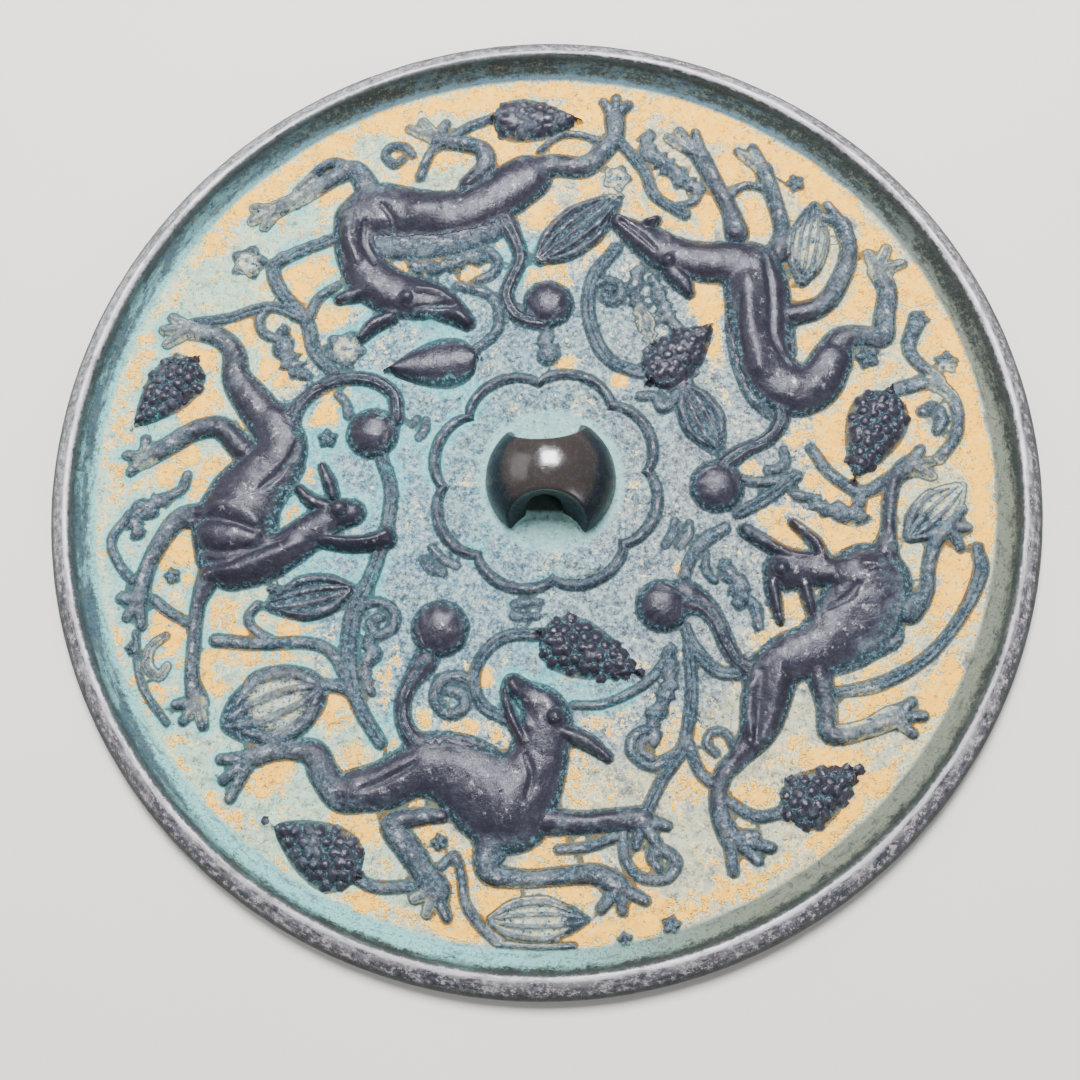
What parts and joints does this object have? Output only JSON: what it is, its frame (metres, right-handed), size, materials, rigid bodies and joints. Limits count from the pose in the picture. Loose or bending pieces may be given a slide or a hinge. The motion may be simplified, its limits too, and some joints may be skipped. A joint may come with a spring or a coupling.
{
  "type": "bronze mirror",
  "caption": "Round cast bronze hand mirror lying face down, its back carved in relief with running beasts, vines and grapes around a pierced dome knob.",
  "frame": {"origin": "centre of the plain reflecting face, which is the underside", "axes": "+Z out of the decorated back, +Y along the cord hole through the knob, +X to the right of the cord hole"},
  "size_m": [0.18, 0.18, 0.0146],
  "materials": {
    "bronze": "old cast bronze: dark purple-grey worn high points, turquoise patina and tan earth in the hollows"
  },
  "bodies": {
    "root": {"mirror": "bronze", "knob": "bronze"}
  },
  "joints": []
}
